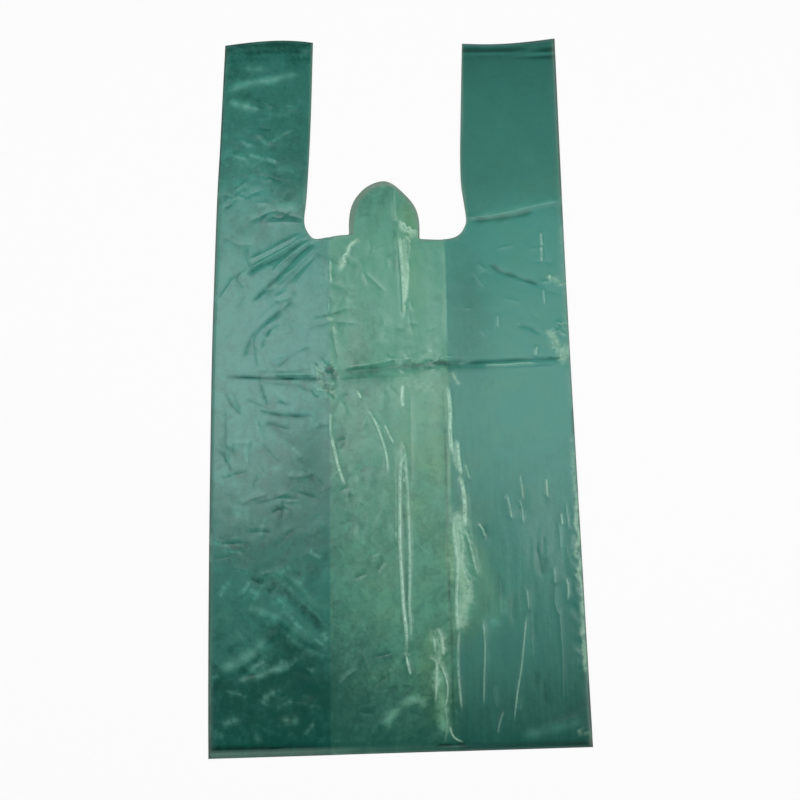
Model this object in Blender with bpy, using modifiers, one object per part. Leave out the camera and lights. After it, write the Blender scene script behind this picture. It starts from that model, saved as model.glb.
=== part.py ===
# Vest carrier bag of thin film, lying flat on its back panel.
# One gusseted tube of film is welded across both ends, and the mouth is punched
# out of one end, which leaves two handles and a round tongue between them.
# Metres, +Z up. +Y points to the handles and +X to the bag's right.
import math

import bmesh
import bpy
from mathutils import Vector

# Film tube, as it lies folded flat
BAG_WIDTH = 0.296
BAG_LENGTH = 0.600
LEFT_GUSSET = 0.097
RIGHT_GUSSET = 0.103
FILM = 0.0003
LAYER_GAP = 0.0005

# Punched mouth
LEFT_HANDLE = 0.0760
RIGHT_HANDLE = 0.0840
MOUTH_DEPTH = 0.184
MOUTH_CORNER = 0.017
INNER_EDGE_BOW = 0.003
TONGUE_WIDTH = 0.060
TONGUE_HEIGHT = 0.052
TONGUE_OFFSET = -0.002

# Welds across the ends
WELD_WIDTH = 0.002
BOTTOM_SKIRT = 0.0055
TOP_HEM = 0.0085

# How the laid bag departs from a true rectangle
SIDE_BOW = 0.002
HANDLE_LEAN = 0.0040
END_WAVE = 0.002

# Air left in the bag, and where the gussets' step in the front panel lies
PUFF = 0.0008
STEP_WIDTH = 0.004

# Spacing of the film's own faces
FRONT_PITCH = 0.0060
LOWER_PITCH = 0.045
ROW_PITCH = 0.0125

# Creases of the front panel: start, end, height and half width
CREASES = {
    "waist_fold_left": ((-0.146, -0.004), (-0.040, 0.001), 0.0018, 0.011),
    "waist_fold_right": ((-0.050, 0.001), (0.146, 0.008), 0.0022, 0.011),
    "tongue_crease": ((0.005, 0.158), (0.0095, 0.045), 0.0020, 0.009),
    "centre_pleat": ((0.0065, -0.050), (0.0065, -0.240), 0.0021, 0.009),
    "gusset_pleat_upper": ((0.044, -0.010), (0.053, -0.125), 0.0020, 0.010),
    "gusset_pleat_lower": ((0.053, -0.125), (0.046, -0.215), 0.0022, 0.011),
    "lower_pleat": ((0.030, -0.200), (0.035, -0.280), 0.0022, 0.010),
    "shoulder_fan_upper": ((-0.070, 0.114), (-0.124, 0.087), 0.0015, 0.010),
    "shoulder_fan_middle": ((-0.066, 0.110), (-0.119, 0.060), 0.0018, 0.010),
    "shoulder_fan_lower": ((-0.060, 0.098), (-0.123, 0.034), 0.0018, 0.011),
    "left_handle_fold": ((-0.078, 0.138), (-0.118, 0.140), 0.0014, 0.010),
    "right_handle_fold": ((0.070, 0.134), (0.144, 0.149), 0.0016, 0.011),
    "right_side_fold": ((0.082, 0.086), (0.144, 0.073), 0.0016, 0.011),
    "left_crease": ((-0.053, -0.040), (-0.041, -0.094), 0.0015, 0.010),
    "slant_crease": ((0.100, -0.203), (0.088, -0.275), 0.0014, 0.010),
    "corner_fold_upper": ((-0.108, -0.156), (-0.052, -0.220), 0.0018, 0.014),
    "corner_fold_lower": ((-0.138, -0.238), (-0.092, -0.206), 0.0015, 0.013),
}
# The welds hold the film flat over this length beside them
FLAT_BY_WELD = 0.012

FILM_COLOUR = (0.055, 0.235, 0.175, 1.0)
FILM_ROUGHNESS = 0.36

HALF_WIDTH = BAG_WIDTH / 2
HALF_LENGTH = BAG_LENGTH / 2
LAYER_PITCH = FILM + LAYER_GAP
BACK_Z = FILM / 2
LOWER_LEAF_Z = BACK_Z + LAYER_PITCH
UPPER_LEAF_Z = LOWER_LEAF_Z + LAYER_PITCH
FRONT_Z = UPPER_LEAF_Z + LAYER_PITCH
FOLD_RADIUS = LAYER_PITCH / 2
LEFT_FOLD_X = -HALF_WIDTH + LEFT_GUSSET
RIGHT_FOLD_X = HALF_WIDTH - RIGHT_GUSSET
BOTTOM_WELD_Y = -HALF_LENGTH + BOTTOM_SKIRT
TOP_WELD_Y = HALF_LENGTH - TOP_HEM


def smooth(value):
    value = min(max(value, 0.0), 1.0)
    return value * value * (3 - 2 * value)


def stations(start, end, pitch):
    count = max(1, round(abs(end - start) / pitch))
    return [start + (end - start) * k / count for k in range(count + 1)]


# Places of the film in plan


def plan_place(x, y):
    """Where a point of the true rectangle lies once the bag is laid down."""
    along = y / HALF_LENGTH
    across = x / HALF_WIDTH
    bow = SIDE_BOW * (along * along - 0.5)
    lean = HANDLE_LEAN * smooth((along - 0.3) / 0.7) * max(-across, 0.0)
    wave = END_WAVE * (math.cos(2.4 * math.pi * (across + 0.66)) if along > 0 else across)
    return x + bow + lean, y + wave * max(abs(along) - 0.8, 0.0) * 5


# Heights of the film


def crease_height(x, y):
    """Height of the tallest crease over a point, in a rounded section that fades at its ends."""
    point = Vector((x, y))
    highest = 0.0
    for start, end, height, half_width in CREASES.values():
        start, end = Vector(start), Vector(end)
        run = end - start
        share = min(max((point - start).dot(run) / run.length_squared, 0.0), 1.0)
        off = (point - (start + run * share)).length / half_width
        if off < 1:
            highest = max(highest, height * (1 - off * off) ** 2)
    return highest


def flatness(y):
    """0 at the welds, which hold the film down, and 1 away from them."""
    from_weld = min(TOP_WELD_Y - y, y - BOTTOM_WELD_Y)
    return smooth((from_weld - WELD_WIDTH) / FLAT_BY_WELD)


def puff(x, y):
    """The air in the bag, highest along its middle."""
    return PUFF * math.cos(0.5 * math.pi * x / HALF_WIDTH) * flatness(y)


def front_z(x, y):
    """Over four layers at the sides, and over two between the gussets' inner folds."""
    left = smooth((LEFT_FOLD_X - x) / STEP_WIDTH + 1)
    right = smooth((x - RIGHT_FOLD_X) / STEP_WIDTH + 1)
    step = (FRONT_Z - LOWER_LEAF_Z) * max(left, right)
    return LOWER_LEAF_Z + step + puff(x, y) + crease_height(x, y) * flatness(y)


def section():
    """The folded tube's section, once round, as (x, height of the film there as a function of x and y)."""

    def level(z, share):
        return lambda x, y: z + share * puff(x, y)

    edge = HALF_WIDTH - FOLD_RADIUS
    upper_tip = level((UPPER_LEAF_Z + FRONT_Z) / 2, 1)
    lower_tip = level((BACK_Z + LOWER_LEAF_Z) / 2, 0)
    inner_tip = level((LOWER_LEAF_Z + UPPER_LEAF_Z) / 2, 0.5)
    upper, lower = level(UPPER_LEAF_Z, 0.6), level(LOWER_LEAF_Z, 0.4)
    back = level(BACK_Z, 0)

    front = set(stations(-edge, edge, FRONT_PITCH))
    for fold, inward in ((LEFT_FOLD_X, 1), (RIGHT_FOLD_X, -1)):
        front = {x for x in front if abs(x - fold) > 0.6 * FRONT_PITCH}
        front |= {fold, fold + inward * STEP_WIDTH}
    ring = [(x, front_z) for x in sorted(front)]
    ring.append((HALF_WIDTH, upper_tip))
    inner = RIGHT_FOLD_X + FOLD_RADIUS
    ring += [(x, upper) for x in stations(edge, inner, LOWER_PITCH)]
    ring.append((RIGHT_FOLD_X, inner_tip))
    ring += [(x, lower) for x in stations(inner, edge, LOWER_PITCH)]
    ring.append((HALF_WIDTH, lower_tip))
    ring += [(x, back) for x in stations(edge, -edge, LOWER_PITCH)]
    ring.append((-HALF_WIDTH, lower_tip))
    inner = LEFT_FOLD_X - FOLD_RADIUS
    ring += [(x, lower) for x in stations(-edge, inner, LOWER_PITCH)]
    ring.append((LEFT_FOLD_X, inner_tip))
    ring += [(x, upper) for x in stations(inner, -edge, LOWER_PITCH)]
    ring.append((-HALF_WIDTH, upper_tip))
    return ring


def film_tube(collection):
    """A flat sheet of film, folded into the gusseted tube and joined at its seam."""
    ring = section()
    rows = stations(-HALF_LENGTH, HALF_LENGTH, ROW_PITCH)
    around, along = len(ring), len(rows) - 1
    sheet = bmesh.new()
    bmesh.ops.create_grid(sheet, x_segments=around, y_segments=along, size=1.0)
    for vertex in sheet.verts:
        column = round((vertex.co.x + 1) / 2 * around) % around
        row = round((vertex.co.y + 1) / 2 * along)
        x, height = ring[column]
        y = rows[row]
        place = plan_place(x, y)
        vertex.co = (place[0], place[1], height(x, y))
    bmesh.ops.remove_doubles(sheet, verts=sheet.verts, dist=1e-6)
    bmesh.ops.recalc_face_normals(sheet, faces=sheet.faces)
    mesh = bpy.data.meshes.new("bag_film")
    sheet.to_mesh(mesh)
    sheet.free()
    tube = bpy.data.objects.new("bag_film", mesh)
    collection.objects.link(tube)
    wall = tube.modifiers.new("film_thickness", "SOLIDIFY")
    wall.thickness = FILM
    wall.offset = 0
    wall.use_even_offset = True
    return tube


# Tools that weld and punch the tube


def tool_from_outline(name, points, thickness, collection):
    """A closed flat outline, extruded to a thickness, as a mesh that only shapes other pieces."""
    curve = bpy.data.curves.new(name, "CURVE")
    curve.dimensions = "2D"
    curve.fill_mode = "BOTH"
    curve.extrude = thickness / 2
    spline = curve.splines.new("POLY")
    spline.points.add(len(points) - 1)
    for target, point in zip(spline.points, points):
        target.co = (point[0], point[1], 0, 1)
    spline.use_cyclic_u = True
    outline = bpy.data.objects.new(name + "_outline", curve)
    collection.objects.link(outline)
    bpy.context.view_layer.update()
    graph = bpy.context.evaluated_depsgraph_get()
    mesh = bpy.data.meshes.new_from_object(outline.evaluated_get(graph))
    shape = bmesh.new()
    shape.from_mesh(mesh)
    bmesh.ops.remove_doubles(shape, verts=shape.verts, dist=1e-6)
    bmesh.ops.recalc_face_normals(shape, faces=shape.faces)
    shape.to_mesh(mesh)
    shape.free()
    bpy.data.objects.remove(outline)
    tool = bpy.data.objects.new(name, mesh)
    tool.hide_render = True
    tool.display_type = "WIRE"
    collection.objects.link(tool)
    return tool


def weld_bar(name, y, collection):
    """Melted film through every layer, from the back panel up to the front panel."""
    left, left_y = plan_place(-HALF_WIDTH, y)
    right, right_y = plan_place(HALF_WIDTH, y)
    left_fold = plan_place(LEFT_FOLD_X, y)[0]
    right_fold = plan_place(RIGHT_FOLD_X, y)[0]
    points = [
        (left, BACK_Z),
        (right, BACK_Z),
        (right, FRONT_Z),
        (right_fold, FRONT_Z),
        (right_fold - STEP_WIDTH, LOWER_LEAF_Z),
        (left_fold + STEP_WIDTH, LOWER_LEAF_Z),
        (left_fold, FRONT_Z),
        (left, FRONT_Z),
    ]
    bar = tool_from_outline(name, points, WELD_WIDTH, collection)
    bar.rotation_euler = (math.pi / 2, 0, math.atan2(right_y - left_y, BAG_WIDTH))
    bar.location = (0, y, 0)
    return bar


def arc(centre, radius, start, end, count):
    """Points of an arc between two angles in degrees."""
    angles = [math.radians(start + (end - start) * k / count) for k in range(count + 1)]
    return [(centre[0] + radius * math.cos(a), centre[1] + radius * math.sin(a)) for a in angles]


def mouth_outline():
    """What the punch takes out: a round-cornered notch with the tongue left standing in it."""
    top = HALF_LENGTH + MOUTH_CORNER
    floor = HALF_LENGTH - MOUTH_DEPTH
    left = -HALF_WIDTH + LEFT_HANDLE
    right = HALF_WIDTH - RIGHT_HANDLE
    middle = (left + right) / 2 + TONGUE_OFFSET
    half_tongue = TONGUE_WIDTH / 2
    shoulder = floor + TONGUE_HEIGHT - half_tongue
    outline = [(left + HANDLE_LEAN * (1 + MOUTH_CORNER / MOUTH_DEPTH), top)]
    outline += arc((left + MOUTH_CORNER, floor + MOUTH_CORNER), MOUTH_CORNER, 180, 270, 6)
    outline.append((middle - half_tongue, floor))
    outline += arc((middle, shoulder), half_tongue, 180, 0, 16)
    outline.append((middle + half_tongue, floor))
    outline += arc((right - MOUTH_CORNER, floor + MOUTH_CORNER), MOUTH_CORNER, 270, 360, 6)
    outline.append((right - INNER_EDGE_BOW, HALF_LENGTH - MOUTH_DEPTH / 2))
    outline.append((right, top))
    return outline


def shape_with(tube, tool, operation):
    modifier = tube.modifiers.new(tool.name, "BOOLEAN")
    modifier.operation = operation
    modifier.solver = "EXACT"
    modifier.object = tool


def film_material():
    material = bpy.data.materials.new("green_film")
    material.use_nodes = True
    shader = material.node_tree.nodes["Principled BSDF"]
    shader.inputs["Base Color"].default_value = FILM_COLOUR
    shader.inputs["Roughness"].default_value = FILM_ROUGHNESS
    shader.inputs["Metallic"].default_value = 0.0
    return material


def new_collection(name):
    collection = bpy.data.collections.new(name)
    bpy.context.scene.collection.children.link(collection)
    return collection


def main():
    for old in list(bpy.data.objects):
        bpy.data.objects.remove(old)
    bag = new_collection("vest_carrier_bag")
    tools = new_collection("welding_and_punching_tools")
    tube = film_tube(bag)
    shape_with(tube, weld_bar("bottom_weld", BOTTOM_WELD_Y, tools), "UNION")
    shape_with(tube, weld_bar("top_weld", TOP_WELD_Y, tools), "UNION")
    punch = tool_from_outline("mouth_punch", mouth_outline(), 20 * FRONT_Z, tools)
    shape_with(tube, punch, "DIFFERENCE")
    tube.data.materials.append(film_material())


main()
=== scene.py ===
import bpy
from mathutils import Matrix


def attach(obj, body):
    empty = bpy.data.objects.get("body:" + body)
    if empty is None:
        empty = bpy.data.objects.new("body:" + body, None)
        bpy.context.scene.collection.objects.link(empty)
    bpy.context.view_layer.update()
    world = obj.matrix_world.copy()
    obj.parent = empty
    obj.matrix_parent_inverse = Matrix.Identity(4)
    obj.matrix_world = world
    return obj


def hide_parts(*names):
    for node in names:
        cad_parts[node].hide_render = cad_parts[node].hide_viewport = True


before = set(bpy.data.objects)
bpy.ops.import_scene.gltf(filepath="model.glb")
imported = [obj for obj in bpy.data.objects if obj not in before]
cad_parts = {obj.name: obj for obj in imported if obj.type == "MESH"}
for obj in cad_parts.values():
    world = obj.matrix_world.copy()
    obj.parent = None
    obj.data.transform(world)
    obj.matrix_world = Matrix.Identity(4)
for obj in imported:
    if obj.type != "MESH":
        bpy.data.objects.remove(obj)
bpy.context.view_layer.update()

import math
import random

import bmesh
import bpy
import numpy as np
from mathutils import Vector, noise

mm = 0.001


# The bag as it lies, in millimetres from its centre: x to the right, y to the handles
bag = dict(
    halfWidth=148.0,
    halfLength=300.0,
    leftEdge=[(-301, -146.5), (-240, -147.8), (-150, -149), (0, -150), (90, -149.2), (155, -148.2),
              (200, -146.6), (250, -145.2), (298, -143.8)],  # (y, x)
    rightEdge=[(-298, 148), (-240, 147.6), (-150, 147.2), (0, 146.6), (100, 146.6), (200, 147.2), (302, 148)],
    topRise=[(-148, -2), (-122, 1.2), (-100, 2.4), (-82, 1.6), (-68, -0.2), (-56, -1), (52, -1.9), (65, -2.4),
             (85, -3.1), (105, -2.6), (128, -0.6), (148, 2)],  # (x, how far the edge stands out)
    bottomRise=[(-148, -1), (148, 1.8)],
    riseReach=30.0,
    edgeSteps=6,
    riseSteps=4,
    leftFold=-53.0,  # the inner folds of the gussets
    rightFold=45.0,
    foldStep=18.0,  # the front panel comes down over this length from a gusset's fold
    bottomWeld=-295.0,
    topWeld=289.0,
    layerPitch=0.32,
    filmThickness=0.06,
    lowestLayer=0.08,
)
mouth = dict(
    leftSide=[(-66.5, 300), (-68, 240), (-69.5, 200), (-72, 155), (-74, 136), (-73, 127), (-69, 119.4)],
    leftFloor=[(-64, 116.8), (-55, 118), (-46, 119.8), (-37, 120.4)],
    tongue=[(-36, 121), (-36, 133), (-34, 145), (-29, 155), (-20, 164), (-8, 168.6), (1, 166.4), (10, 158.5),
            (18, 149), (22.3, 140), (24, 129), (23.8, 117)],
    rightFloor=[(24.6, 115.8), (40, 115), (50, 115.7), (57, 118.6)],
    rightSide=[(61.5, 124), (64, 132), (62.6, 147), (60.6, 165), (60.6, 190), (61.8, 220), (63.4, 255),
               (65.5, 300)],
    tongueCentre=(9, 119),
    frontTongue=(0.92, 0.93),  # the front panel's tongue lies a little inside the back panel's
    frontFloorDrop=0.9,
    curveSteps=4,
)
# How finely the sheet is cut
cuts = dict(
    columnPitch=3.3,
    rowPitch=3.3,
    hiddenPitch=46.0,
    topPitch=7,
    besideEdge=[2, 5, 9],  # columns beside the outer folds
    shoulder=1.1,  # how far beside a crest the film bends again
    shoulderShare=0.42,  # and the most that this may be of the crease's reach
    tallCrease=0.75,
    besideCrease=2.2,
    snap=0.25,
    cell=8.0,
    busyGlint=0.12,
    busyReach=3.2,
    busyMargin=0.8,
    busyCrumple=0.2,
    fineCrumple=5.0,
    merge=0.002,
)


def curveThrough(points, steps):
    ends = [points[0]] + list(points) + [points[-1]]
    run = []
    for a, b, c, d in zip(ends, ends[1:], ends[2:], ends[3:]):
        for k in range(steps):
            t = k / steps
            run.append(tuple(
                0.5 * (2 * b[i] + (c[i] - a[i]) * t + (2 * a[i] - 5 * b[i] + 4 * c[i] - d[i]) * t ** 2
                       + (3 * b[i] - a[i] - 3 * c[i] + d[i]) * t ** 3)
                for i in (0, 1)))
    return run + [points[-1]]


leftRun = np.array(curveThrough(bag["leftEdge"], bag["edgeSteps"]))
rightRun = np.array(curveThrough(bag["rightEdge"], bag["edgeSteps"]))
topRun = np.array(curveThrough(bag["topRise"], bag["riseSteps"]))


def smooth(value):
    value = np.clip(value, 0.0, 1.0)
    return value * value * (3 - 2 * value)


def edgesAt(y):
    return np.interp(y, leftRun[:, 0], leftRun[:, 1]), np.interp(y, rightRun[:, 0], rightRun[:, 1])


# A point of the straight tube (u, v) goes to its place on the floor (x, y), and back
def laidPlace(u, v):
    reach = bag["riseReach"]
    start = bag["halfLength"] - reach
    y = v + np.interp(u, topRun[:, 0], topRun[:, 1]) * smooth((v - start) / reach)
    y = y + np.interp(u, *zip(*bag["bottomRise"])) * smooth((-start - v) / reach)
    left, right = edgesAt(y)
    return left + (u + bag["halfWidth"]) / (2 * bag["halfWidth"]) * (right - left), y


def tubePlace(x, y):
    left, right = edgesAt(y)
    return (x - left) / (right - left) * 2 * bag["halfWidth"] - bag["halfWidth"], y


def mouthRun(front):
    steps = mouth["curveSteps"]
    tongue = list(mouth["tongue"])
    drop = mouth["frontFloorDrop"] if front else 0
    if front:
        (cx, cy), (sx, sy) = mouth["tongueCentre"], mouth["frontTongue"]
        tongue = [(cx + (x - cx) * sx, cy + (y - cy) * sy) for x, y in tongue]
    run = curveThrough(mouth["leftSide"] + [(x, y - drop) for x, y in mouth["leftFloor"]], steps)
    run += curveThrough(tongue, steps)
    run += curveThrough([(x, y - drop) for x, y in mouth["rightFloor"]] + mouth["rightSide"], steps)
    return [tuple(float(c) for c in tubePlace(x, y)) for x, y in run]


# A crease: its path, its height, how far it reaches to the left and right of the path, how pale it is painted
# along it and how widely (whitened film with a painted highlight), and how much painted shade lies along it and how
# widely
def crease(path, height, reach, pale=0.0, width=0.9, dark=0.0, spread=2.0):
    return dict(path=path, height=height, reach=reach, pale=pale, width=width, dark=dark, spread=spread)


# A dent, with painted shade along it that lies darker than the film
def dent(path, height, reach, dark, spread=2.0):
    return crease(path, height, reach, dark=dark, spread=spread)


# A line or patch along a path, this wide, with this much of something
def band(path, width, amount):
    return dict(path=path, width=width, amount=amount)


# A soft patch round a place
def patch(at, reach, amount):
    return dict(at=at, reach=reach, amount=amount)


# A crumpled place: its centre, reach and height, the size of a crumple along and across, and its turn
# in degrees
def crumple(at, reach, height, size, turn=0):
    return dict(at=at, reach=reach, height=height, size=size, turn=turn)


# A field of small wrinkles: its centre and reach, how many, the way that they run and how far they turn
# from it, their length and height, how much painted light and shade lies along them, and how much of that
# is whitened film with a painted highlight
def field(at, reach, count, turn, swing, length, height, light, shine=0):
    return dict(at=at, reach=reach, count=count, turn=turn, swing=swing, length=length, height=height,
                light=light, shine=shine)


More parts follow.
